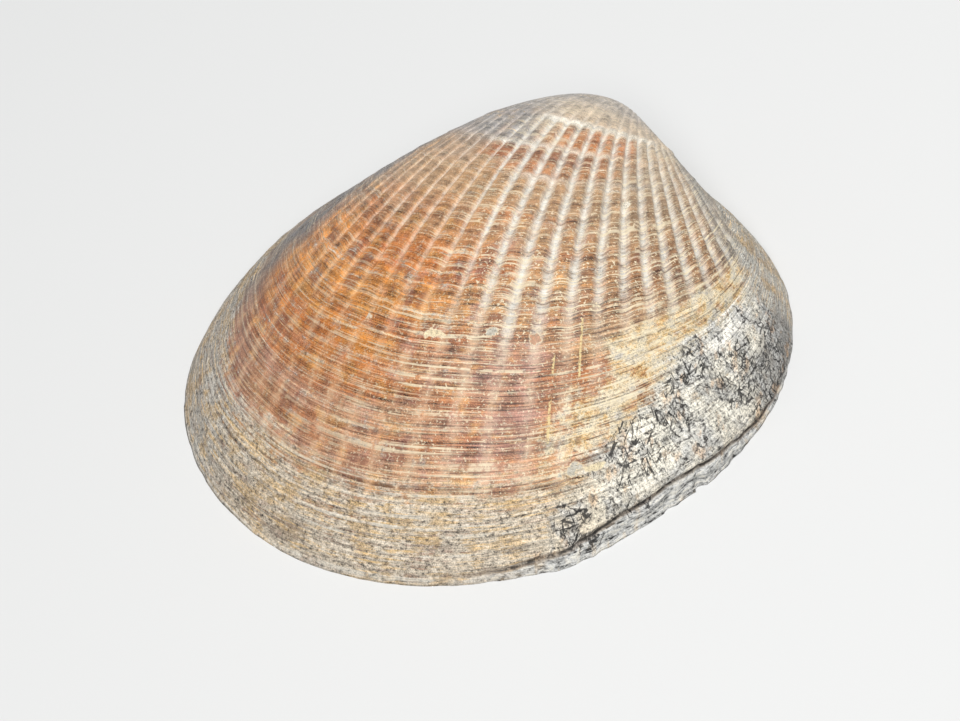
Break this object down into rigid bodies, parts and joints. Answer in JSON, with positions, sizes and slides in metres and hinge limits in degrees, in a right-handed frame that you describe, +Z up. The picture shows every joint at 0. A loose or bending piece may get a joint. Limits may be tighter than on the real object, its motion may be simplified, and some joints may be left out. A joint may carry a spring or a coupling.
{
  "type": "bittersweet clam shell",
  "caption": "Single valve of a bittersweet clam, domed and ribbed outside, hollow inside with a toothed hinge plate, lying on its rim.",
  "frame": {"origin": "middle of the bounding box seen from above, on the plane that the rim rests on", "axes": "+Z up out of the dome, the shortest extent; +Y from the free edge to the beak, the longest extent; +X to the right seen from the free edge"},
  "size_m": [0.0628, 0.0672, 0.0185],
  "materials": {
    "shell": "weathered, matt, orange-brown ribs with pale grooves, chalky grey towards the rim"
  },
  "bodies": {
    "root": {"shell_valve": "shell"}
  },
  "joints": []
}
